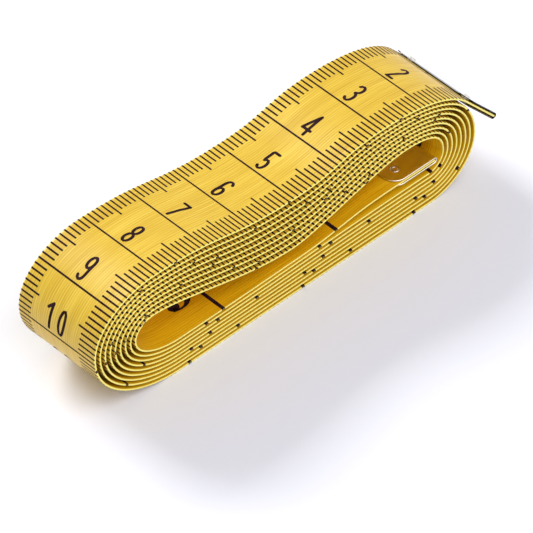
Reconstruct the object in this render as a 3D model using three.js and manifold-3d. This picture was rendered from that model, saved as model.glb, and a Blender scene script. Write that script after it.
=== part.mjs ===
// Cloth tape measure, wound flat into a long oval with a drawn-in waist.
// Millimetres. X runs along the winding, Y across the tape, Z up from the surface it lies on.
// The winding stands on the flat lower run of its outermost turn.
import * as THREE from 'three';
import { mergeVertices } from 'three/addons/utils/BufferGeometryUtils.js';
import Module from 'manifold-3d';

// Tape
const tapeWidth = 18;
const tapeThickness = 0.4;
const turns = 8;
const endGap = 0.3;

// Middle line of the outermost turn: the points where it runs level or upright
const outerRightLobeX = 27;
const outerRightLobeZ = 23.7;
const outerWaistX = 8;
const outerWaistZ = 21.3;
const outerLeftLobeX = -24;
const outerLeftLobeZ = 24.7;
const outerLeftBulgeX = -36.7;
const outerLeftBulgeZ = 14.5;
const outerBottomLeftX = -18;
const outerBottomRightX = 38.3;
const outerBottomArch = 0.06;
const outerRightBulgeX = 49.4;
const outerRightBulgeZ = 9.9;

// Middle line of the innermost turn, which goes round the eye of the winding
const innerRightLobeX = 31;
const innerRightLobeZ = 15.7;
const innerWaistX = 11.5;
const innerWaistZ = 11.1;
const innerLeftLobeX = -23;
const innerLeftLobeZ = 16.4;
const innerLeftBulgeX = -27.9;
const innerLeftBulgeZ = 12.9;
const innerBottomLeftX = -18;
const innerBottomLeftZ = 6.85;
const innerBottomRightX = 37.8;
const innerBottomRightZ = 7.9;
const innerRightBulgeX = 41;
const innerRightBulgeZ = 11;

// How full each bend is, as a share of its reach
const levelFullnessShare = 0.5;
const bendFullnessShare = 0.55;
const shoulderFullnessShare = 0.63;

// Steps along one turn, from the right lobe round to the right lobe
const waistSteps = 8;
const bendSteps = 10;
const bottomSteps = 6;
const shoulderSteps = 12;

// The outer end runs straight on from this far along the right shoulder, and flexes from
// this many steps further back
const crestShare = 0.355;
const crestSteps = 8;
const flexSteps = 4;

// Folded end clips and the tape that they hold
const clipLength = 10.4;
const clipSheet = 0.28;
const clipPlay = 0.07;
const clipCornerRadius = 2.4;
const foldSteps = 8;
const outerEndLength = 10.9;
const innerTipGap = 1.5;
const innerTipX = innerRightBulgeX - innerTipGap;
const innerFlapLength = 25.5;
const innerClipZ = 9.33;
const flapSteps = 8;

// Hollow rivets through each clip
const rivetSetback = 7.7;
const rivetEdgeDistance = 2.7;
const rivetBoreRadius = 0.32;
const rivetBarrelRadius = 0.52;
const rivetFlangeRadius = 0.85;
const rivetFlange = 0.14;
const rivetPlay = 0.07;
const rivetSides = 16;

const wasm = await Module();
wasm.setup();

// Turns a closed geometry into a solid that can be joined and cut.
function solidOf(geometry) {
  const bare = geometry.clone();
  bare.deleteAttribute('normal');
  bare.deleteAttribute('uv');
  const merged = mergeVertices(bare);
  const vertProperties = new Float32Array(merged.attributes.position.array);
  const triVerts = new Uint32Array(merged.index.array);
  return new wasm.Manifold(new wasm.Mesh({ numProp: 3, vertProperties, triVerts }));
}

// Turns a solid back into a geometry.
function geometryOf(solid) {
  const mesh = solid.getMesh();
  const geometry = new THREE.BufferGeometry();
  geometry.setAttribute('position', new THREE.BufferAttribute(mesh.vertProperties, mesh.numProp));
  geometry.setIndex(new THREE.BufferAttribute(mesh.triVerts, 1));
  geometry.computeVertexNormals();
  return geometry;
}

// Stations of the two middle lines; "level" tells whether the tape runs along X there, and
// "arch" is how far the outer line rises in the middle of the run that starts there.
const halfTape = tapeThickness / 2;
const stations = [
  { level: 1, outer: [outerRightLobeX, outerRightLobeZ], inner: [innerRightLobeX, innerRightLobeZ] },
  { level: 1, outer: [outerWaistX, outerWaistZ], inner: [innerWaistX, innerWaistZ] },
  { level: 1, outer: [outerLeftLobeX, outerLeftLobeZ], inner: [innerLeftLobeX, innerLeftLobeZ] },
  { level: 0, outer: [outerLeftBulgeX, outerLeftBulgeZ], inner: [innerLeftBulgeX, innerLeftBulgeZ] },
  {
    level: 1,
    outer: [outerBottomLeftX, halfTape],
    inner: [innerBottomLeftX, innerBottomLeftZ],
    arch: outerBottomArch,
  },
  { level: 1, outer: [outerBottomRightX, halfTape], inner: [innerBottomRightX, innerBottomRightZ] },
  { level: 0, outer: [outerRightBulgeX, outerRightBulgeZ], inner: [innerRightBulgeX, innerRightBulgeZ] },
];
const runs = [
  { steps: waistSteps, fullness: levelFullnessShare },
  { steps: waistSteps, fullness: levelFullnessShare },
  { steps: bendSteps, fullness: bendFullnessShare },
  { steps: bendSteps, fullness: bendFullnessShare },
  { steps: bottomSteps, fullness: levelFullnessShare },
  { steps: bendSteps, fullness: bendFullnessShare },
  { steps: shoulderSteps, fullness: shoulderFullnessShare },
];
const bottomRun = stations.findIndex((station) => station.arch);
const shoulderRun = runs.length - 1;

// A cubic curve for each run of one middle line, level or upright where it meets the next.
function outline(which) {
  return runs.map((run, i) => {
    const from = stations[i];
    const to = stations[(i + 1) % stations.length];
    const a = new THREE.Vector2(...from[which]);
    const b = new THREE.Vector2(...to[which]);
    const reach = b.clone().sub(a).multiplyScalar(run.fullness);
    const leave = new THREE.Vector2(reach.x * from.level, reach.y * (1 - from.level));
    const arrive = new THREE.Vector2(reach.x * to.level, reach.y * (1 - to.level));
    return new THREE.CubicBezierCurve(a, a.clone().add(leave), b.clone().sub(arrive), b);
  });
}
const outerRuns = outline('outer');
const innerRuns = outline('inner');

// A point of the winding: turn, run and share along it. The tape moves in by one turn
// between the lower right bend and the crest, and keeps its place among the turns elsewhere.
function windingPoint(turn, run, along) {
  const place = run + along;
  const climb = THREE.MathUtils.smoothstep(place, bottomRun + 1, shoulderRun + crestShare);
  const depthShare = (turn + climb) / turns;
  const outer = outerRuns[run].getPoint(along);
  outer.y += (stations[run].arch ?? 0) * Math.sin(Math.PI * along);
  return outer.lerp(innerRuns[run].getPoint(along), depthShare);
}

// The middle line from the crest to the last lower run.
function windingPath() {
  const points = [];
  for (let i = 0; i < crestSteps; i += 1) {
    points.push(windingPoint(-1, shoulderRun, crestShare + (1 - crestShare) * (i / crestSteps)));
  }
  for (let turn = 0; turn <= turns; turn += 1) {
    const lastRun = turn === turns ? bottomRun : runs.length;
    for (let run = 0; run < lastRun; run += 1) {
      for (let i = 0; i < runs[run].steps; i += 1) {
        points.push(windingPoint(turn, run, i / runs[run].steps));
      }
    }
  }
  return points;
}

// A closed ribbon of the tape's width and thickness along a middle line in X and Z. Each corner
// of its section is on the outer or the inner face, at the front or the back edge.
const sectionCorners = [[1, 0], [1, 1], [-1, 1], [-1, 0]];
function ribbon(points) {
  const positions = [];
  const faces = [];
  points.forEach((p, i) => {
    const before = points[Math.max(i - 1, 0)];
    const after = points[Math.min(i + 1, points.length - 1)];
    const back = p === before ? after.clone().sub(p) : p.clone().sub(before);
    const ahead = p === after ? p.clone().sub(before) : after.clone().sub(p);
    const direction = back.normalize().add(ahead.normalize()).normalize();
    const side = new THREE.Vector2(direction.y, -direction.x);
    const stretch = halfTape / Math.abs(direction.dot(back));
    for (const [face, edge] of sectionCorners) {
      const x = p.x + side.x * stretch * face;
      const z = p.y + side.y * stretch * face;
      positions.push(x, edge * tapeWidth - tapeWidth / 2, z);
    }
  });
  const corners = sectionCorners.length;
  for (let i = 0; i < points.length - 1; i += 1) {
    for (let j = 0; j < corners; j += 1) {
      const a = i * corners + j;
      const b = i * corners + ((j + 1) % corners);
      faces.push(a, b, a + corners, b, b + corners, a + corners);
    }
  }
  const last = (points.length - 1) * corners;
  faces.push(0, 2, 1, 0, 3, 2);
  faces.push(last, last + 1, last + 2, last, last + 2, last + 3);
  const geometry = new THREE.BufferGeometry();
  geometry.setAttribute('position', new THREE.Float32BufferAttribute(positions, 3));
  geometry.setIndex(faces);
  geometry.computeVertexNormals();
  return geometry;
}

// Least distance from point p to the stretch from a to b.
function distanceToStretch(p, a, b) {
  const line = b.clone().sub(a);
  const share = THREE.MathUtils.clamp(p.clone().sub(a).dot(line) / line.lengthSq(), 0, 1);
  return p.distanceTo(a.clone().addScaledVector(line, share));
}

// Least gap between the faces of different turns, taken at every point of the middle line.
function leastGap(points, apart) {
  let least = Infinity;
  points.forEach((p, i) => {
    for (let j = 0; j < points.length - 1; j += 1) {
      if (Math.abs(i - j) < apart) continue;
      least = Math.min(least, distanceToStretch(p, points[j], points[j + 1]));
    }
  });
  return least - tapeThickness;
}

// The last lower run reaches the flap, which lifts off the turn under it.
const flapStartX = innerTipX - innerFlapLength;
const flapShare = (flapStartX - innerBottomLeftX) / (innerBottomRightX - innerBottomLeftX);
const path = windingPath();
for (let i = 0; i <= bottomSteps; i += 1) {
  path.push(windingPoint(turns, bottomRun, flapShare * (i / bottomSteps)));
}
const flapStart = path[path.length - 1];
const stepsPerTurn = runs.reduce((sum, run) => sum + run.steps, 0);
console.log(`least gap between turns ${leastGap(path, stepsPerTurn / 2).toFixed(3)} mm`);
const pathLength = path.slice(1).reduce((sum, p, i) => sum + p.distanceTo(path[i]), 0);
console.log(`tape from tip to tip ${(pathLength + outerEndLength + innerFlapLength).toFixed(1)} mm`);

// Folded clip: a sheet bent round the tip of the tape, with rounded inner corners. Its tip is at 0.
const clipInner = halfTape + clipPlay;
const clipOuter = clipInner + clipSheet;
const holeRadius = rivetBarrelRadius + rivetPlay;
function clipSolid() {
  const half = tapeWidth / 2;
  const section = new THREE.Shape();
  section.moveTo(-clipLength, -clipOuter);
  section.lineTo(-clipOuter, -clipOuter);
  section.absarc(-clipOuter, 0, clipOuter, -Math.PI / 2, Math.PI / 2, false);
  section.lineTo(-clipLength, clipOuter);
  section.lineTo(-clipLength, clipInner);
  section.lineTo(-clipOuter, clipInner);
  section.absarc(-clipOuter, 0, clipInner, Math.PI / 2, -Math.PI / 2, true);
  section.lineTo(-clipLength, -clipInner);
  section.closePath();
  const fold = { depth: tapeWidth, bevelEnabled: false, curveSegments: foldSteps };
  const sheet = new THREE.ExtrudeGeometry(section, fold);
  sheet.rotateX(Math.PI / 2);
  sheet.translate(0, half, 0);
  const plan = new THREE.Shape();
  plan.moveTo(clipLength, -2 * half);
  plan.lineTo(clipLength, 2 * half);
  plan.lineTo(clipCornerRadius - clipLength, 2 * half);
  plan.lineTo(clipCornerRadius - clipLength, half);
  const cornerX = clipCornerRadius - clipLength;
  const cornerY = half - clipCornerRadius;
  plan.absarc(cornerX, cornerY, clipCornerRadius, Math.PI / 2, Math.PI, false);
  plan.absarc(cornerX, -cornerY, clipCornerRadius, Math.PI, 1.5 * Math.PI, false);
  plan.lineTo(cornerX, -2 * half);
  plan.closePath();
  const raise = { depth: 4 * clipOuter, bevelEnabled: false, curveSegments: foldSteps };
  const cutter = new THREE.ExtrudeGeometry(plan, raise);
  cutter.translate(0, 0, -2 * clipOuter);
  return pierced(solidOf(sheet).intersect(solidOf(cutter)), 0, 0);
}

// Cuts the two rivet holes of a clip whose tip is at tipX and whose tape lies at height z.
function pierced(solid, tipX, z) {
  let left = solid;
  for (const side of [-1, 1]) {
    const drill = new THREE.CylinderGeometry(holeRadius, holeRadius, 4 * clipOuter, rivetSides);
    drill.rotateX(Math.PI / 2);
    drill.translate(tipX - rivetSetback, side * (tapeWidth / 2 - rivetEdgeDistance), z);
    left = left.subtract(solidOf(drill));
  }
  return geometryOf(left);
}

// Hollow rivet: a barrel through clip and tape with a flange turned over at each side.
function rivetSolid() {
  const seat = clipOuter + rivetPlay;
  const top = seat + rivetFlange;
  const profile = [
    [rivetBoreRadius, -top],
    [rivetFlangeRadius - rivetFlange, -top],
    [rivetFlangeRadius, -seat - rivetFlange / 2],
    [rivetFlangeRadius, -seat],
    [rivetBarrelRadius, -seat],
    [rivetBarrelRadius, seat],
    [rivetFlangeRadius, seat],
    [rivetFlangeRadius, seat + rivetFlange / 2],
    [rivetFlangeRadius - rivetFlange, top],
    [rivetBoreRadius, top],
    [rivetBoreRadius, -top],
  ].map(([r, z]) => new THREE.Vector2(r, z));
  const geometry = new THREE.LatheGeometry(profile, rivetSides);
  geometry.rotateX(Math.PI / 2);
  return geometry;
}

const tapeMaterial = new THREE.MeshStandardMaterial({ color: '#edc24a', roughness: 0.5, metalness: 0 });
const clipMaterial = new THREE.MeshStandardMaterial({ color: '#d4d4d6', roughness: 0.2, metalness: 1 });
const rivetMaterial = new THREE.MeshStandardMaterial({ color: '#bdbcb8', roughness: 0.3, metalness: 1 });

function named(name, geometry, material) {
  const mesh = new THREE.Mesh(geometry, material);
  mesh.name = name;
  return mesh;
}

// Clip and rivets of one tape end, with the clip's tip at 0.
function clipGroup(end) {
  const group = new THREE.Group();
  group.add(named(`${end}_clip`, clipSolid(), clipMaterial.clone()));
  for (const [place, side] of [['front', -1], ['back', 1]]) {
    const rivet = named(`${end}_rivet_${place}`, rivetSolid(), rivetMaterial.clone());
    rivet.position.set(-rivetSetback, side * (tapeWidth / 2 - rivetEdgeDistance), 0);
    group.add(rivet);
  }
  return group;
}

// The wound tape, from where the outer end flexes to where the inner end does.
const winding = new THREE.Group();
winding.add(named('tape_coil', ribbon(path.slice(flexSteps)), tapeMaterial.clone()));

// The outer end follows the shoulder to the crest and runs straight on from there.
const crest = path[0];
const crestLine = crest.clone().sub(path[1]).normalize();
const tapeInset = clipSheet + 2 * clipPlay;
const outerStart = path[flexSteps];
const outerNext = path[flexSteps - 1].clone().sub(outerStart).normalize();
const outerLine = [outerStart.clone().addScaledVector(outerNext, endGap)];
for (let i = flexSteps - 1; i >= 0; i -= 1) outerLine.push(path[i]);
outerLine.push(crest.clone().addScaledVector(crestLine, outerEndLength - tapeInset));
const outerTip = crest.clone().addScaledVector(crestLine, outerEndLength);
const outerEnd = clipGroup('outer');
outerEnd.position.set(outerTip.x, 0, outerTip.y);
outerEnd.rotation.y = -Math.atan2(crestLine.y, crestLine.x);
outerEnd.updateMatrix();
const outerStrip = ribbon(outerLine).applyMatrix4(outerEnd.matrix.clone().invert());
outerEnd.add(named('tape_outer_end', pierced(solidOf(outerStrip), 0, 0), tapeMaterial.clone()));
winding.add(outerEnd);

// The inner end rises from the last lower run to the height of its clip.
const riseStart = new THREE.Vector2(flapStart.x + endGap, flapStart.y);
const riseEnd = new THREE.Vector2(innerTipX - clipLength, innerClipZ);
const riseReach = new THREE.Vector2((riseEnd.x - riseStart.x) * levelFullnessShare, 0);
const riseCurve = new THREE.CubicBezierCurve(
  riseStart,
  riseStart.clone().add(riseReach),
  riseEnd.clone().sub(riseReach),
  riseEnd,
);
const flapPath = riseCurve.getPoints(flapSteps);
flapPath.push(new THREE.Vector2(innerTipX - tapeInset, innerClipZ));
const innerTape = pierced(solidOf(ribbon(flapPath)), innerTipX, innerClipZ);
winding.add(named('tape_inner_end', innerTape, tapeMaterial.clone()));
const innerClip = clipGroup('inner');
innerClip.position.set(innerTipX, 0, innerClipZ);
winding.add(innerClip);

// The middle of the whole length goes to X 0, and the lower run lies at Z 0.
const extent = new THREE.Box3().setFromObject(winding);
winding.position.x = -(extent.min.x + extent.max.x) / 2;
const object = new THREE.Group();
object.add(winding);
const place = (p) => `${(p.x + winding.position.x).toFixed(4)} ${p.y.toFixed(4)}`;
console.log(`outer end flexes at ${place(outerStart)}, inner end at ${place(flapStart)}`);
console.log(`crest at ${place(crest)}, outer tip at ${place(outerTip)}`);

export default object;
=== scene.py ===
import bpy
import numpy as np
from mathutils import Matrix, Vector


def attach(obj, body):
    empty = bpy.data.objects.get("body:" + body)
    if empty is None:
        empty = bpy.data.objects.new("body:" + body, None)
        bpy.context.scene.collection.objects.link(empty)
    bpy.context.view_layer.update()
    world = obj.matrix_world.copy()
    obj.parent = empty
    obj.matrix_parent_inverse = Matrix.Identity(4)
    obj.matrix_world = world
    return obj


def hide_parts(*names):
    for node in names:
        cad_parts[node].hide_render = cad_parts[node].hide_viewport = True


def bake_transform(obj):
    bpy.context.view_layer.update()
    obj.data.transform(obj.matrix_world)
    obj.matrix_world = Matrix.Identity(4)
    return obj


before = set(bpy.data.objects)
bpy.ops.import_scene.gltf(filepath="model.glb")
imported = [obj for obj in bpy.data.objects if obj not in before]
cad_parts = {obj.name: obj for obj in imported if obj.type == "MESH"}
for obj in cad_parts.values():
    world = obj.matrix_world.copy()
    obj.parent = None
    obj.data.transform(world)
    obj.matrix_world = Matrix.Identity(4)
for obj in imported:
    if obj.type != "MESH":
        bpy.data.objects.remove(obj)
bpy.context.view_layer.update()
mm = 0.001


def smoothStep(x, low, high):
    # 3t^2 - 2t^3 of the share t of x between low and high
    t = np.clip((x - low) / (high - low), 0, 1)
    return t * t * (3 - 2 * t)


# The wound tape's middle line in X and Z, millimetres: the stations of its outermost and of its innermost
# turn, and how far the curve's handles reach along X (level stations) or Z (the others)
winding = {
    "outer": [
        (27, 23.7), (8, 21.3), (-24, 24.7), (-36.7, 14.5),
        (-18, 0.2), (38.3, 0.2), (49.4, 9.9),
    ],
    "inner": [
        (32.5, 15.78), (7.2, 10.56), (-24, 16.24), (-27.93, 12.9),
        (-18, 7.2), (37.8, 7.9), (41.03, 11),
    ],
    "level": [1, 1, 1, 0, 1, 1, 0],  # 1 where the line runs along X at its station
    "outerLeave": [0.5, 0.5, 0.55, 0.55, 0.5, 0.55, 0.63],
    "outerArrive": [0.5, 0.5, 0.55, 0.55, 0.5, 0.55, 0.63],
    "innerLeave": [0.26, 0.36, 0.55, 0.55, 0.5, 0.55, 0.63],
    "innerArrive": [0.2, 0.22, 0.55, 0.55, 0.5, 0.55, 0.63],
    "turns": 8,
    "bottomRun": 4,  # lies on the table
    "shoulderRun": 6,  # climbs the right bend
    "crestShare": 0.355,  # place on that run where the outer end leaves
    "placedX": -8.9519,  # moves the coil to the frame's middle
    "outerEndLength": 10.46,
    "outerEndSlope": 48.3,
    "innerTipX": 39.8,
    "flapLength": 35.0,
    "flapBend": 0.5,  # how far the S curve's handles reach
    "clipLength": 9.9,
    "innerClipZ": 9.1,
    "bottomArch": 0.06,  # rise of the lowest run's middle
    "endSamples": 200,
    "woundSamples": 24000,
    "flapSamples": 400,
    "clipSamples": 120,
}
stationCount = len(winding["outer"])


def bezierControls(which):
    # four control points for each run: its two stations, and a handle at each that reaches a share of
    # the run's size along X or along Z
    at = np.array(winding[which], float)
    to = np.roll(at, -1, axis=0)
    level = np.array(winding["level"], float)
    levelTo = np.roll(level, -1)
    leaveShare = np.array(winding[which + "Leave"])[:, None]
    arriveShare = np.array(winding[which + "Arrive"])[:, None]
    leave = (to - at) * leaveShare * np.stack([level, 1 - level], axis=1)
    arrive = (to - at) * arriveShare * np.stack([levelTo, 1 - levelTo], axis=1)
    return np.stack([at, at + leave, to - arrive, to], axis=1)


def bezierPoints(controls, t):
    # (1-t)^3 a + 3 (1-t)^2 t b + 3 (1-t) t^2 c + t^3 d of the four controls a to d
    shares = [(1 - t) ** 3, 3 * (1 - t) ** 2 * t, 3 * (1 - t) * t * t, t ** 3]
    return sum(share * control for share, control in zip(shares, controls))


def windingPoints(q):
    # q = stations in a turn x turn + place; the point is (1 - depth) outer curve + depth inner curve,
    # and the depth grows by one turn between the foot of the right bend and the crest, where the outer
    # end leaves
    turn = np.floor(q / stationCount)
    place = q - stationCount * turn
    run = np.clip(np.floor(place).astype(int), 0, stationCount - 1)
    t = (place - run)[:, None]
    crest = winding["shoulderRun"] + winding["crestShare"]
    climb = smoothStep(place, winding["bottomRun"] + 1, crest)
    depth = ((turn + climb) / winding["turns"])[:, None]
    outer = bezierPoints(np.moveaxis(bezierControls("outer")[run], 1, 0), t)
    inner = bezierPoints(np.moveaxis(bezierControls("inner")[run], 1, 0), t)
    arch = winding["bottomArch"] * np.sin(np.pi * t[:, 0])
    outer[:, 1] += np.where(run == winding["bottomRun"], arch, 0)
    return outer * (1 - depth) + inner * depth


def wholeLine():
    # straight outer end, winding, then a flap that rises on an S curve to its level clip; the distance s
    # from the outer tip is the running sum of the steps between points
    w = winding
    flapStartX = w["innerTipX"] - w["flapLength"]
    left, right = (w["inner"][w["bottomRun"] + i][0] for i in (0, 1))
    firstPlace = w["shoulderRun"] - stationCount + w["crestShare"]
    lastPlace = stationCount * w["turns"] + w["bottomRun"] + (flapStartX - left) / (right - left)
    wound = windingPoints(np.linspace(firstPlace, lastPlace, w["woundSamples"]))
    slope = np.radians(w["outerEndSlope"])
    tip = wound[0] + w["outerEndLength"] * np.array([np.cos(slope), -np.sin(slope)])
    outer = np.linspace(tip, wound[0], w["endSamples"], endpoint=False)
    start = wound[-1]
    end = np.array([w["innerTipX"] - w["clipLength"], w["innerClipZ"]])
    reach = np.array([(end[0] - start[0]) * w["flapBend"], 0])
    t = np.linspace(0, 1, w["flapSamples"])[1:, None]
    rise = bezierPoints([start, start + reach, end - reach, end], t)
    last = np.linspace(end, [w["innerTipX"], w["innerClipZ"]], w["clipSamples"])[1:]
    points = np.concatenate([outer, wound, rise, last]) + np.array([w["placedX"], 0])
    steps = np.hypot(*np.diff(points, axis=0).T)
    s = np.concatenate([[0], np.cumsum(steps)])
    crestAt = w["endSamples"]
    marks = {"crest": s[crestAt], "flapStart": s[crestAt + len(wound) - 1], "end": s[-1]}
    return points, s, marks


linePoints, lineS, lineMarks = wholeLine()
lineDirection = np.gradient(linePoints, lineS, axis=0)
lineDirection /= np.hypot(*lineDirection.T)[:, None]
roundedMarks = {key: round(float(value), 2) for key, value in lineMarks.items()}
print("tape length in mm", round(lineMarks["end"], 1), "marks", roundedMarks)

tape = {
    "halfWidth": 9.0,
    "halfThickness": 0.18,
    "edgeSides": 5,
    "beadPlace": 8.4,
    "beadWidth": 0.2,
    "beadHeight": 0.03,
    "beadStops": (-2.2, -0.9, 0.0, 0.9),  # in bead widths
    "step": 0.42,
    "outerSplit": 25.56,  # seam, from the outer tip
    "innerSplit": 29.65,  # seam, from the inner tip
    "clipInset": 0.42,  # the tape stops this far inside its clip
    "faceColour": (0.675, 0.435, 0.022, 1),
    # pale streak colour: partly the cloth's own streaky tone, partly a painted sheen
    "paleSheenColour": (0.79, 0.56, 0.062, 1),
    "darkColour": (0.57, 0.34, 0.009, 1),
    "colourPlaces": (0.34, 0.5, 0.68),
    # the rounded cut edges are painted a paler lemon: a painted highlight of the lit front edges
    "edgeHighlightColour": (1.0, 0.87, 0.19, 1),
    "edgeHighlightFade": (-0.02, 0.08),  # from the start of the rounded edge
    "innerTint": (1.04, 0.865, 0.16, 1),
    "ribPitch": 0.46,
    "ribDepth": 0.012,
    "ribWander": 5.0,
    # how far the ribs lighten the colour: a painted sheen on the rib crests
    "ribSheenShare": 0.075,
    "ribBump": 0.45,
    "bumpStrength": 0.5,
    "wanderScale": (0.05, 0.35, 1),
    "fineScale": (0.12, 5.0, 1),
    "broadScale": (0.03, 0.5, 1),
    "fineDetail": 3.0,
    "broadDetail": 2.0,
    "fineShare": 0.6,
    "broadShare": 0.4,
    "roughness": 0.38,
    "outerShine": 0.5,
    "innerShine": 0.15,
    "sharpAngle": 1.1,
}


def edgeStart():
    # half of the face's flat width: the tape's half width less the radius of its rounded edge
    return tape["halfWidth"] - tape["halfThickness"]


def tapePoints(s, w, side, lift):
    # s is the distance from the outer tip, w the arc length from the tape's middle across its face and
    # round its half-round edge, side 1 the outer face and -1 the inner one; the outer face has a low bead
    # h = height exp(-((|w| - place) / width)^2) along each edge, and lift is the height above it all
    r = tape["halfThickness"]
    flat = edgeStart()
    x = np.interp(s, lineS, linePoints[:, 0])
    z = np.interp(s, lineS, linePoints[:, 1])
    dx = np.interp(s, lineS, lineDirection[:, 0])
    dz = np.interp(s, lineS, lineDirection[:, 1])
    angle = np.maximum(np.abs(w) - flat, 0) / r
    bead = tape["beadHeight"] * np.exp(-((np.abs(w) - tape["beadPlace"]) / tape["beadWidth"]) ** 2)
    bead = np.where((np.abs(w) < flat) & (np.asarray(side) > 0), bead, 0)
    y = np.sign(w) * (np.minimum(np.abs(w), flat) + (r + lift) * np.sin(angle))
    h = ((r + lift) * np.cos(angle) + bead) * side
    return np.stack([x + dz * h, y, z - dx * h], axis=-1) * mm


def newMesh(name, points, faces, material, uv=None, smooth=True):
    # one mesh object from arrays of points and faces, with a UV given for each point
    mesh = bpy.data.meshes.new(name)
    mesh.from_pydata(points.reshape(-1, 3), [], faces.tolist() if hasattr(faces, "tolist") else faces)
    if smooth:
        mesh.shade_smooth()
        mesh.set_sharp_from_angle(angle=tape["sharpAngle"])
    if uv is not None:
        layer = mesh.uv_layers.new(name="tape")
        corner = np.empty(len(mesh.loops), int)
        mesh.loops.foreach_get("vertex_index", corner)
        layer.data.foreach_set("uv", uv.reshape(-1, 2)[corner].astype(np.float32).ravel())
    mesh.materials.append(material)
    piece = bpy.data.objects.new(name, mesh)
    bpy.context.scene.collection.objects.link(piece)
    return piece


def gridQuads(rows, columns, closeRows=False, closeColumns=False):
    # quads between neighbouring points of a rows by columns grid, point = row x columns + column
    r = np.arange(rows if closeRows else rows - 1)
    c = np.arange(columns if closeColumns else columns - 1)
    a, b = np.meshgrid(r, c, indexing="ij")
    nextA, nextB = (a + 1) % rows, (b + 1) % columns
    corners = [(a, b), (a, nextB), (nextA, nextB), (nextA, b)]
    return np.stack([row * columns + column for row, column in corners], axis=-1).reshape(-1, 4)


def tubeFaces(rows, columns):
    # faces of a tube made of rings, with a cap on its first and on its last ring
    ring = list(range(columns))
    faces = gridQuads(rows, columns, closeColumns=True).tolist()
    return faces + [ring[::-1], [(rows - 1) * columns + i for i in ring]]


class Nodes:
    # small helper that adds nodes to one material and links them; a value given to a socket is either
    # another node's output or a plain number, place or colour
    def __init__(self, name):
        self.material = bpy.data.materials.new(name)
        self.material.use_nodes = True
        self.tree = self.material.node_tree
        self.shader = self.tree.nodes["Principled BSDF"]

    def give(self, socket, value):
        if hasattr(value, "is_linked"):
            self.tree.links.new(value, socket)
        else:
            socket.default_value = value

    def feed(self, name, value):
        self.give(self.shader.inputs[name], value)

    def add(self, kind, inputs=(), out=0, **settings):
        node = self.tree.nodes.new(kind)
        for key, value in settings.items():
            setattr(node, key, value)
        for key, value in dict(inputs).items():
            self.give(node.inputs[key], value)
        return node.outputs[out]

    def math(self, operation, *values):
        return self.add("ShaderNodeMath", dict(enumerate(values)), operation=operation)

    def mix(self, share, first, second, blend="MIX"):
        colours = {"Factor": share, 6: first, 7: second}
        return self.add("ShaderNodeMix", colours, 2, data_type="RGBA", blend_type=blend)

    def noise(self, vector, scale, detail):
        mapped = self.add("ShaderNodeMapping", {"Vector": vector, "Scale": scale})
        return self.add("ShaderNodeTexNoise", {"Vector": mapped, "Scale": 1.0, "Detail": detail})

    def ramp(self, share, stops):
        node = self.tree.nodes.new("ShaderNodeValToRGB")
        steps = node.color_ramp.elements
        while len(steps) < len(stops):
            steps.new(0.5)
        for step, (place, colour) in zip(steps, stops):
            step.position = place
            step.color = colour
        self.give(node.inputs["Fac"], share)
        return node.outputs["Color"]


def tapeMaterial():
    # yellow coated cloth: ribs sin(2 pi v / pitch + wander) and soft streaks run along the tape, partly
    # its own tone and partly a painted sheen on the rib crests; its cut edges carry a painted highlight
    # and its inner face is deeper; the UV is (s, w), with the inner face's w kept apart beyond twice the
    # half width
    n = Nodes("tape")
    uv = n.add("ShaderNodeUVMap", uv_map="tape")
    v = n.add("ShaderNodeSeparateXYZ", {0: uv}, "Y")
    wander = n.noise(uv, tape["wanderScale"], tape["broadDetail"])
    ribs = n.math("MULTIPLY", v, 2 * np.pi / tape["ribPitch"])
    phase = n.math("ADD", ribs, n.math("MULTIPLY", wander, tape["ribWander"]))
    rib = n.math("SINE", phase)
    fine = n.noise(uv, tape["fineScale"], tape["fineDetail"])
    broad = n.noise(uv, tape["broadScale"], tape["broadDetail"])
    fineShare = n.math("MULTIPLY", fine, tape["fineShare"])
    streaks = n.math("ADD", fineShare, n.math("MULTIPLY", broad, tape["broadShare"]))
    # the rib term paints a sheen on the rib crests into the colour
    streaks = n.math("ADD", streaks, n.math("MULTIPLY", rib, tape["ribSheenShare"]))
    colours = (tape["darkColour"], tape["faceColour"], tape["paleSheenColour"])
    face = n.ramp(streaks, list(zip(tape["colourPlaces"], colours)))
    size = n.math("ABSOLUTE", v)
    fadeFrom, fadeTo = (edgeStart() + place for place in tape["edgeHighlightFade"])
    fade = n.add("ShaderNodeMapRange", {"Value": size, "From Min": fadeFrom, "From Max": fadeTo})
    edgeHighlight = n.math("MULTIPLY", fade, n.math("LESS_THAN", size, 2 * tape["halfWidth"]))
    inside = n.math("GREATER_THAN", size, 2 * tape["halfWidth"])
    face = n.mix(inside, face, tape["innerTint"], "MULTIPLY")
    # the rounded edges take the painted highlight colour
    n.feed("Base Color", n.mix(edgeHighlight, face, tape["edgeHighlightColour"]))
    n.feed("Roughness", tape["roughness"])
    shine = {"Value": inside, "To Min": tape["outerShine"], "To Max": tape["innerShine"]}
    n.feed("Specular IOR Level", n.add("ShaderNodeMapRange", shine))
    height = n.math("ADD", n.math("MULTIPLY", rib, tape["ribBump"]), fine)
    bump = {"Strength": tape["bumpStrength"], "Distance": tape["ribDepth"] * mm, "Height": height}
    n.feed("Normal", n.add("ShaderNodeBump", bump))
    return n.material


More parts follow.
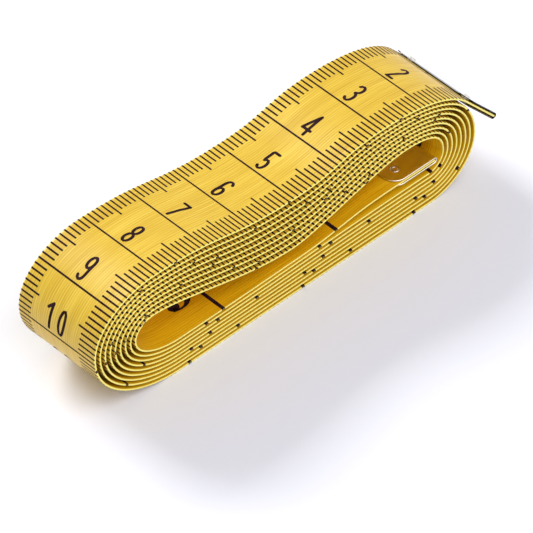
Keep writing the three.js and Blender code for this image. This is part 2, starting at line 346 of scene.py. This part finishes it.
# The print, millimetres: strokes and figures of the centimetre scale outside, of the inch scale inside
ink = {
    "colour": (0.016, 0.005, 0.007, 1),
    "wornColour": (0.045, 0.020, 0.024, 1),
    "wearPlaces": (0.3, 0.85),
    "wearScale": 900.0,
    "roughness": 0.5,
    "shine": 0.03,
    "lift": 0.014,
    "endMargin": 0.6,
    "tickWidth": 0.32,
    "lineWidth": 0.33,
    "centre": 0.46,  # the figures' middle, off the tape's middle
    "tickReach": 5.6,
    "halfTickReach": 4.63,
    "wrap": 0.68,  # radians round the edge
    "wrapSteps": 4,
    "digitHeight": 5.0,
    "digitBox": 0.34,
    "digitStroke": 0.54,
    "digitBase": 0.63,
    "digitAdvance": 2.6,
    "centimetres": 150,
    "zeroAt": 1.46,
    "inches": 60,
    "inchPitch": 25.4,
    "inchLineWidth": 0.7,
    "inchZeroAt": 1.66,
    "inchWrap": 2.6,  # radians round the edge
    "inchDigitHeight": 9.3,
    "inchDigitWidth": 5.7,
    "inchDigitBox": 0.62,
    "inchThick": 0.18,
    "inchThin": 0.045,
    "inchBaseline": 4.6,
    "inchGap": 1.1,
}


def inkMaterial():
    # brownish black print, a little worn where a noise is high
    n = Nodes("ink")
    place = n.add("ShaderNodeTexCoord", out="Object")
    wear = n.add("ShaderNodeTexNoise", {"Vector": place, "Scale": ink["wearScale"]})
    stops = list(zip(ink["wearPlaces"], (ink["colour"], ink["wornColour"])))
    n.feed("Base Color", n.ramp(wear, stops))
    n.feed("Roughness", ink["roughness"])
    n.feed("Specular IOR Level", ink["shine"])
    return n.material


tapeYellow = tapeMaterial()
inkBlack = inkMaterial()


def beadPlaces():
    # places across the bead: its middle plus some bead widths
    return tape["beadPlace"] + tape["beadWidth"] * np.array(tape["beadStops"])


def sectionAcross():
    # arc places round the tape's section: outer face with its beads, an edge, the inner face and the
    # other edge
    flat = edgeStart()
    half = np.concatenate([[0], beadPlaces(), [flat]])
    outer = np.concatenate([-half[:0:-1], half])
    edge = flat + np.linspace(0, np.pi, tape["edgeSides"] + 1)[1:-1] * tape["halfThickness"]
    inner = np.array([flat, 0, -flat])
    w = np.concatenate([outer, edge, inner, -edge[::-1]])
    outward = np.ones(len(outer) + len(edge))
    side = np.concatenate([outward, -np.ones(len(inner)), np.ones(len(edge))])
    return w, side


def ribbonPiece(name, low, high):
    # closed ribbon between two distances along the tape: the rounded section carried along the line
    count = int(np.ceil((high - low) / tape["step"])) + 1
    s = np.linspace(low, high, count)
    w, side = sectionAcross()
    points = tapePoints(s[:, None], np.broadcast_to(w, (count, len(w))), side, 0)
    across = np.where(side > 0, w, 4 * tape["halfWidth"] - w)
    uv = np.stack(np.broadcast_arrays(s[:, None], across), axis=-1)
    return newMesh(name, points, tubeFaces(count, len(w)), tapeYellow, uv)


def bars(s, half, inner, wrap):
    # film strips at each s, from s - half to s + half: one on each side of the tape, from w = inner out to
    # the edge and round it by wrap radians
    flat = edgeStart()
    rimReflection = flat + np.linspace(0, wrap, ink["wrapSteps"])[1:] * tape["halfThickness"]
    parts = []
    for sign, start in zip((-1, 1), inner):
        fixed = sign * np.concatenate([beadPlaces(), [flat], rimReflection])
        start = np.broadcast_to(start, s.shape)[:, None]
        w = np.concatenate([start, np.broadcast_to(fixed, (len(s), len(fixed)))], axis=1)
        columns = w.shape[1]
        ss = np.stack([s - half, s + half], axis=1)
        ss = np.broadcast_to(ss[:, :, None], (len(s), 2, columns))
        ww = np.broadcast_to(w[:, None, :], (len(s), 2, columns))
        shift = (np.arange(len(s)) * 2 * columns)[:, None, None]
        faces = (gridQuads(2, columns)[None] + shift).reshape(-1, 4)
        parts.append((ss.reshape(-1), ww.reshape(-1), faces))
    return parts


def arcLine(cx, cy, rx, ry, start, stop, count=12):
    # points (cx + rx cos a, cy + ry sin a) of an ellipse between two angles in degrees
    a = np.radians(np.linspace(start, stop, count))
    return np.stack([cx + rx * np.cos(a), cy + ry * np.sin(a)], axis=1)


def evenly(path, step):
    # the same path with points about one step apart
    path = np.asarray(path, float)
    far = np.concatenate([[0], np.cumsum(np.hypot(*np.diff(path, axis=0).T))])
    at = np.linspace(0, far[-1], max(int(np.ceil(far[-1] / step)), 1) + 1)
    return np.stack([np.interp(at, far, path[:, 0]), np.interp(at, far, path[:, 1])], axis=1)


def strokeFilm(path, width, cap=True, step=0.08):
    # a band along a path, p +- n width / 2, with half-round ends: place + radius (out cos a + flank sin a)
    path = np.asarray(path, float)
    if np.ndim(width) == 0:
        path = evenly(path, step)
    radius = np.broadcast_to(np.asarray(width, float), len(path)) / 2
    ahead = np.gradient(path, axis=0)
    ahead /= np.maximum(np.hypot(*ahead.T), 1e-9)[:, None]
    side = np.stack([-ahead[:, 1], ahead[:, 0]], axis=1)
    capTurns = np.radians(np.linspace(80, 10, 3))[:, None]
    borders = []
    for flank in (side, -side):
        border = path + flank * radius[:, None]
        if cap:
            out, across = np.cos(capTurns), np.sin(capTurns)
            first = path[0] + radius[0] * (-ahead[0] * out + flank[0] * across)
            last = path[-1] + radius[-1] * (ahead[-1] * out + flank[-1] * across)
            border = np.concatenate([first[::-1], border, last])
        borders.append(border)
    return np.stack(borders, axis=1).reshape(-1, 2), gridQuads(len(borders[0]), 2)


def joinFilms(films):
    # one point list and one face list from several films
    points, faces, offset = [], [], 0
    for p, f in films:
        points.append(p)
        faces.append(f + offset)
        offset += len(p)
    return np.concatenate(points), np.concatenate(faces)


def plainDigits():
    # narrow rounded figures with even strokes in a box 0.34 wide and 1 high
    stroke = ink["digitStroke"] / ink["digitHeight"]
    hook = [
        arcLine(0.17, 0.75, 0.12, 0.20, 25, 180, 9),
        arcLine(0.17, 0.27, 0.12, 0.22, 180, 270, 6),
    ]
    six = [np.concatenate(hook), arcLine(0.17, 0.28, 0.12, 0.23, -90, 180, 15)]
    two = [arcLine(0.17, 0.77, 0.12, 0.18, 165, -20, 12), [(0.06, 0.07)]]
    shapes = {
        "0": [arcLine(0.17, 0.5, 0.12, 0.45, 0, 360, 25)],
        "1": [[(0.17, 0.05), (0.17, 0.95)], [(0.16, 0.93), (0.0, 0.76)]],
        "2": [np.concatenate(two), [(0.05, 0.06), (0.31, 0.06)]],
        "3": [
            arcLine(0.16, 0.74, 0.125, 0.21, 145, -90, 13),
            arcLine(0.16, 0.285, 0.13, 0.235, 90, -145, 13),
        ],
        "4": [
            [(0.25, 0.05), (0.25, 0.95)],
            [(0.25, 0.95), (0.01, 0.27)],
            [(0.01, 0.28), (0.36, 0.28)],
        ],
        "5": [
            [(0.06, 0.52), (0.06, 0.94), (0.31, 0.94)],
            arcLine(0.165, 0.29, 0.125, 0.24, 135, -145, 15),
        ],
        "6": six,
        "7": [[(0.03, 0.93), (0.30, 0.93)], [(0.30, 0.93), (0.2, 0.5), (0.12, 0.05)]],
        "8": [
            arcLine(0.17, 0.725, 0.11, 0.22, 0, 360, 19),
            arcLine(0.17, 0.275, 0.12, 0.225, 0, 360, 19),
        ],
        "9": [np.array([ink["digitBox"], 1]) - line for line in six],
    }
    return {d: joinFilms([strokeFilm(line, stroke) for line in lines]) for d, lines in shapes.items()}


def serifDigits():
    # bold figures with thick and thin strokes, slab ends and round terminals, 0.62 wide and 1 high
    thick, thin = ink["inchThick"], ink["inchThin"]

    def loop(cx, cy, rx, ry, start=0, stop=360, count=40):
        # an ellipse whose stroke is thin + (thick - thin) |cos a|^1.6 wide
        a = np.radians(np.linspace(start, stop, count))
        width = thin + (thick - thin) * np.abs(np.cos(a)) ** 1.6
        return strokeFilm(arcLine(cx, cy, rx, ry, start, stop, count), width, cap=False)

    def ball(cx, cy, rx, ry):
        # a filled ellipse between its upper and its lower half
        top = arcLine(cx, cy, rx, ry, 0, 180)
        low = arcLine(cx, cy, rx, -ry, 0, 180)
        return np.stack([top, low], axis=1).reshape(-1, 2), gridQuads(len(top), 2)

    def straight(a, b, width):
        return strokeFilm([a, b], width, cap=False, step=0.045)

    tail = [loop(0.24, 0.335, 0.27, 0.315, 110, -128), ball(0.125, 0.135, 0.118, 0.1)]
    six = [
        loop(0.31, 0.31, 0.2, 0.29),
        loop(0.36, 0.5, 0.25, 0.475, 90, 215),
        ball(0.5, 0.83, 0.1, 0.09),
    ]
    shapes = {
        "0": [loop(0.31, 0.5, 0.2, 0.475)],
        "1": [
            straight((0.31, 0), (0.31, 1), thick),
            straight((0.1, 0.03), (0.52, 0.03), 0.06),
            straight((0.1, 0.8), (0.27, 0.96), 0.07),
        ],
        "2": [
            ball(0.14, 0.77, 0.1, 0.09),
            loop(0.3, 0.72, 0.22, 0.25, 150, -40),
            straight((0.44, 0.55), (0.06, 0.08), 0.08),
            straight((0.05, 0.08), (0.57, 0.08), 0.15),
        ],
        "3": [
            ball(0.13, 0.82, 0.1, 0.09),
            loop(0.27, 0.755, 0.2, 0.22, 130, -90),
            loop(0.27, 0.29, 0.24, 0.265, 90, -130),
            ball(0.125, 0.16, 0.11, 0.1),
        ],
        "4": [
            straight((0.4, 0), (0.4, 1), thick),
            straight((0.38, 0.98), (0.04, 0.29), 0.06),
            straight((0.03, 0.27), (0.6, 0.27), 0.07),
            straight((0.22, 0.03), (0.58, 0.03), 0.06),
        ],
        "5": [
            straight((0.12, 0.92), (0.54, 0.92), 0.15),
            straight((0.135, 0.98), (0.135, 0.56), 0.06),
            *tail,
        ],
        "6": six,
        "7": [
            straight((0.07, 0.91), (0.58, 0.91), 0.17),
            straight((0.56, 0.9), (0.26, 0.0), 0.15),
            straight((0.09, 0.98), (0.09, 0.72), 0.05),
        ],
        "8": [loop(0.31, 0.745, 0.17, 0.225), loop(0.31, 0.28, 0.21, 0.25)],
        "9": [(np.array([ink["inchDigitBox"], 1]) - points, faces) for points, faces in six],
    }
    return {d: joinFilms(films) for d, films in shapes.items()}


def placeDigits(glyphs, uses, toTape):
    # every use of one figure is placed at once: its points plus each use's offset
    parts = []
    for figure, (points, faces) in glyphs.items():
        places = np.array([place for text, place in uses if text == figure], float)
        if len(places):
            s, w = np.broadcast_arrays(*toTape(points[None], places[:, None, :]))
            shift = (np.arange(len(places)) * len(points))[:, None, None]
            parts.append((s.reshape(-1), w.reshape(-1), (faces[None] + shift).reshape(-1, 4)))
    return parts


def metricPrint():
    # millimetre strokes at both edges, a line across at each centimetre, figures in the middle; millimetre
    # k lies at s = zero + k
    k = np.arange(1, ink["centimetres"] * 10 + 1)
    s = ink["zeroAt"] + k
    reach = np.where(k % 5 == 0, ink["halfTickReach"], ink["tickReach"])
    reach = np.where(k % 10 == 0, 0, reach)
    half = np.where(k % 10 == 0, ink["lineWidth"], ink["tickWidth"]) / 2
    parts = bars(s, half, (ink["centre"] - reach, ink["centre"] + reach), ink["wrap"])
    uses = []
    for n in range(1, ink["centimetres"] + 1):
        text = str(n)
        for i, figure in enumerate(text):
            offset = (i - (len(text) - 1) / 2) * ink["digitAdvance"]
            uses.append((figure, (ink["zeroAt"] + n * 10, offset)))
    height = ink["digitHeight"]

    def toTape(p, use):
        s = use[..., 0] - ink["digitBase"] - p[..., 1] * height
        w = ink["centre"] - use[..., 1] - (p[..., 0] - ink["digitBox"] / 2) * height
        return s, w

    return parts + placeDigits(plainDigits(), uses, toTape), 1


def inchPrint():
    # a bold line across at each inch and bold figures, two-figure numbers on both sides of their line;
    # inch n lies at s = zero + n pitch
    n = np.arange(1, ink["inches"] + 1)
    s = ink["inchZeroAt"] + n * ink["inchPitch"]
    half = np.full(len(n), ink["inchLineWidth"] / 2)
    parts = bars(s, half, (0 * s, 0 * s), ink["inchWrap"])
    uses = []
    for place, value in zip(s, n):
        for i, figure in enumerate(str(value)):
            before = ink["inchDigitWidth"] + ink["inchGap"] if i == 0 else -ink["inchGap"]
            uses.append((figure, (place, before)))
    height = ink["inchDigitHeight"]

    def toTape(p, use):
        s = use[..., 0] - use[..., 1] + p[..., 0] * ink["inchDigitWidth"] / ink["inchDigitBox"]
        w = -tape["halfWidth"] + ink["inchBaseline"] + p[..., 1] * height
        return s, w

    return parts + placeDigits(serifDigits(), uses, toTape), -1


def filmPiece(name, prints, low, high):
    # one mesh of every stroke whose middle lies between two distances along the tape; each face is turned
    # so that the cross product of its diagonals points away from the tape
    margin = ink["endMargin"]
    allPoints, allFaces, offset = [], [], 0
    for parts, side in prints:
        for s, w, f in parts:
            middle = s[f].mean(axis=1)
            keep = (middle >= low) & (middle < high)
            if not keep.any():
                continue
            used, back = np.unique(f[keep], return_inverse=True)
            place = np.clip(s[used], margin, lineMarks["end"] - margin)
            points = tapePoints(place, w[used], side, ink["lift"])
            faces = back.reshape(-1, 4)
            outward = (tapePoints(place, w[used], side, 1) - points)[faces[:, 0]]
            corner = points[faces]
            turned = np.cross(corner[:, 2] - corner[:, 0], corner[:, 3] - corner[:, 1])
            inward = (turned * outward).sum(axis=1) < 0
            faces[inward] = faces[inward][:, ::-1]
            allPoints.append(points)
            allFaces.append(faces + offset)
            offset += len(used)
    return newMesh(name, np.concatenate(allPoints), np.concatenate(allFaces), inkBlack)


end = lineMarks["end"]
outerSplit = tape["outerSplit"]
innerSplit = end - tape["innerSplit"]
coilTape = ribbonPiece("coilTape", outerSplit, innerSplit)
outerTape = ribbonPiece("outerTape", tape["clipInset"], outerSplit)
innerTape = ribbonPiece("innerTape", innerSplit, end - tape["clipInset"])
prints = [metricPrint(), inchPrint()]
coilInk = filmPiece("coilInk", prints, outerSplit, innerSplit)
outerInk = filmPiece("outerInk", prints, 0, outerSplit)
innerInk = filmPiece("innerInk", prints, innerSplit, end)
print("tape and print made", len(coilTape.data.polygons), len(coilInk.data.polygons))

# The folded clips and their hollow rivets, millimetres; X runs out to the tape's tip at 0
clip = {
    "sheet": 0.2,
    "grip": 0.41,  # half of the space between the plates
    "cornerRadius": 2.4,
    "colour": (0.66, 0.665, 0.68, 1),
    # the inner clip's warm tint is a painted reflection of the yellow tape round it
    "warmReflectionColour": (0.80, 0.745, 0.56, 1),
    # painted reflections on the clips' side edges, fold and back ends: near black outside, pale inside
    "paintedDarkRim": (0.012, 0.008, 0.008, 1),
    "paintedBrightRim": (0.80, 0.80, 0.80, 1),
    "rimReflectionFade": (0.5, 0.8),
    "cutReflectionShare": 0.6,  # how much the plates' back ends take the rim's shade
    "roughness": 0.16,
    "polishScale": 700.0,
    "polishDetail": 4.0,
    "polishSpread": (0.7, 1.5),
    "plateRows": 26,
    "plateCrowding": 1.6,
    "foldRows": 13,
    "acrossPoints": 25,
    "rimPoints": 5,
    "rivetColour": (0.60, 0.54, 0.44, 1),
    "rivetRoughness": 0.24,
    "rivetPolishScale": 900.0,
    "rivetSetback": 7.15,
    "rivetEdge": 2.7,
    "rivetBore": 0.4,
    "rivetFlange": 0.78,
    "flangeHeight": 0.1,
    "crownPoints": 9,
    "rivetSides": 32,
}


def chromeMaterial(name, colour, rimReflectionColour, roughness, scale):
    # bright plated steel with faint polishing lines in its roughness; its cut edges, where the UV's X is
    # high, take a painted reflection: near black on the outer clip, pale on the inner clip
    n = Nodes(name)
    place = n.add("ShaderNodeTexCoord", out="Object")
    detail = clip["polishDetail"]
    lines = n.add("ShaderNodeTexNoise", {"Vector": place, "Scale": scale, "Detail": detail})
    low, high = (roughness * share for share in clip["polishSpread"])
    n.feed("Roughness", n.add("ShaderNodeMapRange", {"Value": lines, "To Min": low, "To Max": high}))
    rimReflection = n.add("ShaderNodeSeparateXYZ", {0: n.add("ShaderNodeUVMap", uv_map="tape")}, "X")
    n.feed("Base Color", n.ramp(rimReflection, list(zip(clip["rimReflectionFade"], (colour, rimReflectionColour)))))
    n.feed("Metallic", 1.0)
    return n.material


polish = (clip["roughness"], clip["polishScale"])
# the outer clip's edges get a painted dark reflection, the inner clip's a painted bright highlight
outerChrome = chromeMaterial("outerClip", clip["colour"], clip["paintedDarkRim"], *polish)
innerChrome = chromeMaterial("innerClip", clip["warmReflectionColour"], clip["paintedBrightRim"], *polish)
rivetPolish = (clip["rivetRoughness"], clip["rivetPolishScale"])
rivetChrome = chromeMaterial("rivet", clip["rivetColour"], clip["rivetColour"], *rivetPolish)


def clipLine():
    # middle line of the folded sheet: lower plate, half-round fold at the tip, upper plate; the plates'
    # rows crowd towards their rounded corners, x = -length + (length + fold) share^crowding
    half = clip["grip"] + clip["sheet"] / 2
    fold = -half - clip["sheet"] / 2
    share = np.linspace(0, 1, clip["plateRows"]) ** clip["plateCrowding"]
    length = winding["clipLength"]
    plate = -length + (length + fold) * share
    turn = np.radians(np.linspace(-90, 90, clip["foldRows"] + 2))[1:-1]
    return np.concatenate([
        np.stack([plate, np.full(len(plate), -half)], axis=1),
        np.stack([fold + half * np.cos(turn), half * np.sin(turn)], axis=1),
        np.stack([plate[::-1], np.full(len(plate), half)], axis=1),
    ])


def clipPiece(name, matrix, chrome):
    # the sheet laid along its middle line: its half width is that of the tape, less
    # r - sqrt(r^2 - (r - inset)^2) at the rounded corners, and its side edges are half round
    line = clipLine()
    ahead = np.gradient(line, axis=0)
    ahead /= np.hypot(*ahead.T)[:, None]
    normal = np.stack([ahead[:, 1], -ahead[:, 0]], axis=1)
    r = clip["cornerRadius"]
    inset = np.clip(line[:, 0] + winding["clipLength"], 0, r)
    width = tape["halfWidth"] - r + np.sqrt(np.maximum(r * r - (r - inset) ** 2, 0))
    t = clip["sheet"] / 2
    turn = np.radians(np.linspace(0, 180, clip["rimPoints"] + 2))[1:-1]
    v = np.linspace(-1, 1, clip["acrossPoints"])
    flat, rounded = np.ones(len(v)), np.ones(len(turn))
    rowY = np.concatenate([v, rounded, v[::-1], -rounded])
    rowH = np.concatenate([flat, np.cos(turn), -flat, -np.cos(turn)])
    rowOut = np.concatenate([0 * flat, np.sin(turn), 0 * flat, -np.sin(turn)])
    x = line[:, 0, None] + normal[:, 0, None] * t * rowH
    z = line[:, 1, None] + normal[:, 1, None] * t * rowH
    y = (width[:, None] - t) * rowY + t * rowOut
    points = np.stack([x, y, z], axis=-1)
    rows, columns = points.shape[:2]
    # the fold, the side edges and the back ends take the painted rim reflection
    plateShare = np.zeros(clip["plateRows"])
    foldReflectionShare = np.concatenate([plateShare, np.ones(clip["foldRows"]), plateShare])
    cut = np.where(np.arange(rows) % (rows - 1) == 0, clip["cutReflectionShare"], 0)
    rimReflection = np.maximum(np.abs(rowOut)[None], np.maximum(cut, foldReflectionShare)[:, None])
    uv = np.stack([rimReflection, np.zeros_like(rimReflection)], axis=-1)
    piece = newMesh(name, points.reshape(-1, 3) * mm, tubeFaces(rows, columns), chrome, uv)
    piece.data.transform(matrix)
    return piece


def rivetPiece(name, matrix, side):
    # a hollow rivet: one closed profile of two half-round flanges, turned about its axis
    half = clip["grip"] + clip["sheet"]
    bore, flange = clip["rivetBore"], clip["rivetFlange"]
    a = np.radians(np.linspace(0, 180, clip["crownPoints"]))
    radius = (bore + flange) / 2 + (flange - bore) / 2 * np.cos(a)
    crown = np.stack([radius, half + clip["flangeHeight"] * np.sin(a)], axis=1)
    profile = np.concatenate([crown, crown[::-1] * np.array([1, -1])])
    sides = clip["rivetSides"]
    turn = np.linspace(0, 2 * np.pi, sides + 1)[:-1]
    points = np.stack([
        profile[:, 0] * np.cos(turn)[:, None],
        profile[:, 0] * np.sin(turn)[:, None],
        np.broadcast_to(profile[:, 1], (sides, len(profile))),
    ], axis=-1)
    points = points + np.array([-clip["rivetSetback"], side * (tape["halfWidth"] - clip["rivetEdge"]), 0])
    faces = gridQuads(sides, len(profile), closeRows=True, closeColumns=True)[:, ::-1]
    points = points.reshape(-1, 3) * mm
    piece = newMesh(name, points, faces, rivetChrome, np.zeros((len(points), 2)))
    piece.data.transform(matrix)
    return piece


def tipMatrix(index, direction):
    # frame at a tape tip: X out along the tape
    x, z = linePoints[index] * mm
    angle = -np.arctan2(direction[1], direction[0])
    return Matrix.Translation((x, 0, z)) @ Matrix.Rotation(angle, 4, "Y")


tips = {
    "outer": (tipMatrix(0, -lineDirection[0]), "outer_end"),
    "inner": (tipMatrix(-1, lineDirection[-1]), "inner_end"),
}
for key, (matrix, body) in tips.items():
    folded = clipPiece(f"{key}Clip", matrix, outerChrome if key == "outer" else innerChrome)
    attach(folded, body)
    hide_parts(f"{key}_clip")
    for word, side in (("Front", -1), ("Back", 1)):
        ring = rivetPiece(f"{key}Rivet{word}", matrix, side)
        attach(ring, body)
        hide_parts(f"{key}_rivet_{word.lower()}")
print("clips and rivets made")

# The length past its hinge at each end of the tape, millimetres
bend = {
    "outerReach": 7.5,
    "innerReach": 14.0,
    "searchPoints": 6000,  # first points of the line
}


searched = slice(0, bend["searchPoints"])
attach(coilTape, "coil")
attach(coilInk, "coil")
for piece in (outerTape, outerInk):
    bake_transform(piece)
for piece in (innerTape, innerInk):
    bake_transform(piece)
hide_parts("tape_coil")
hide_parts("tape_outer_end")
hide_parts("tape_inner_end")
print("coil tape and print tied to the coil")

# Floor, lamps and sky: places and sizes in metres, powers in watts
stage = {
    "floorColour": (0.92, 0.925, 0.97, 1),
    "floorRoughness": 0.9,
    "floorHalf": 3.0,
    "aimAt": (0, 0, 0.01),
    "keyPower": 5.9,
    "keyColour": (1, 1, 1),
    "keyAt": (-0.02, 0.64, 0.48),
    "keySize": (0.46, 0.28),
    "fillPower": 6.6,
    "fillColour": (0.95, 0.935, 1.0),
    "fillAt": (-0.05, -0.56, 0.71),
    "fillSize": (1.3, 0.7),
    "skyStrength": 0.36,
    "skyColour": (0.93, 0.955, 1.0, 1),
}


def makeLamp(name):
    # one rectangular lamp that faces the object
    lamp = bpy.data.lights.new(name, "AREA")
    lamp.energy = stage[name + "Power"]
    lamp.color = stage[name + "Colour"]
    lamp.shape = "RECTANGLE"
    lamp.size, lamp.size_y = stage[name + "Size"]
    thing = bpy.data.objects.new(name, lamp)
    thing.location = stage[name + "At"]
    toObject = Vector(stage["aimAt"]) - thing.location
    thing.rotation_euler = toObject.to_track_quat("-Z", "Y").to_euler()
    thing.visible_camera = False
    bpy.context.scene.collection.objects.link(thing)


def makeWorld():
    # an even sky, and plain white for camera, glossy and transmission rays: the greatest of the three
    # is 1 for them, and mixes white in
    world = bpy.data.worlds.new("world")
    bpy.context.scene.world = world
    world.use_nodes = True
    tree = world.node_tree
    sky = tree.nodes["Background"]
    sky.inputs["Color"].default_value = stage["skyColour"]
    sky.inputs["Strength"].default_value = stage["skyStrength"]
    white = tree.nodes.new("ShaderNodeBackground")
    white.inputs["Color"].default_value = (1, 1, 1, 1)
    white.inputs["Strength"].default_value = 1.0
    path = tree.nodes.new("ShaderNodeLightPath")
    seen = path.outputs["Is Camera Ray"]
    for other in ("Is Glossy Ray", "Is Transmission Ray"):
        both = tree.nodes.new("ShaderNodeMath")
        both.operation = "MAXIMUM"
        tree.links.new(seen, both.inputs[0])
        tree.links.new(path.outputs[other], both.inputs[1])
        seen = both.outputs[0]
    mix = tree.nodes.new("ShaderNodeMixShader")
    tree.links.new(seen, mix.inputs[0])
    tree.links.new(sky.outputs[0], mix.inputs[1])
    tree.links.new(white.outputs[0], mix.inputs[2])
    tree.links.new(mix.outputs[0], tree.nodes["World Output"].inputs["Surface"])


def makeStage():
    # a pale floor, a low key lamp behind, a broad fill in front and the sky
    n = Nodes("floor")
    n.feed("Base Color", stage["floorColour"])
    n.feed("Roughness", stage["floorRoughness"])
    n.feed("Specular IOR Level", 0.0)
    corner = np.array([[-1, -1, 0], [1, -1, 0], [1, 1, 0], [-1, 1, 0]]) * stage["floorHalf"]
    newMesh("floor", corner, np.array([[0, 1, 2, 3]]), n.material, smooth=False)
    makeLamp("key")
    makeLamp("fill")
    makeWorld()
    print("stage made")


makeStage()

camera = {
    "location": (-0.60532, -0.63236, 0.8396),
    "direction": (0.499, 0.5208, -0.6927),
    "lens": 499.88,
    "sensorWidth": 36,
}


def makeCamera():
    # a long lens that looks down from the front left
    data = bpy.data.cameras.new("camera")
    data.lens = camera["lens"]
    data.sensor_width = camera["sensorWidth"]
    thing = bpy.data.objects.new("camera", data)
    thing.location = camera["location"]
    thing.rotation_euler = Vector(camera["direction"]).to_track_quat("-Z", "Y").to_euler()
    bpy.context.scene.collection.objects.link(thing)
    bpy.context.scene.camera = thing
    bpy.context.scene.view_settings.view_transform = "Standard"


makeCamera()
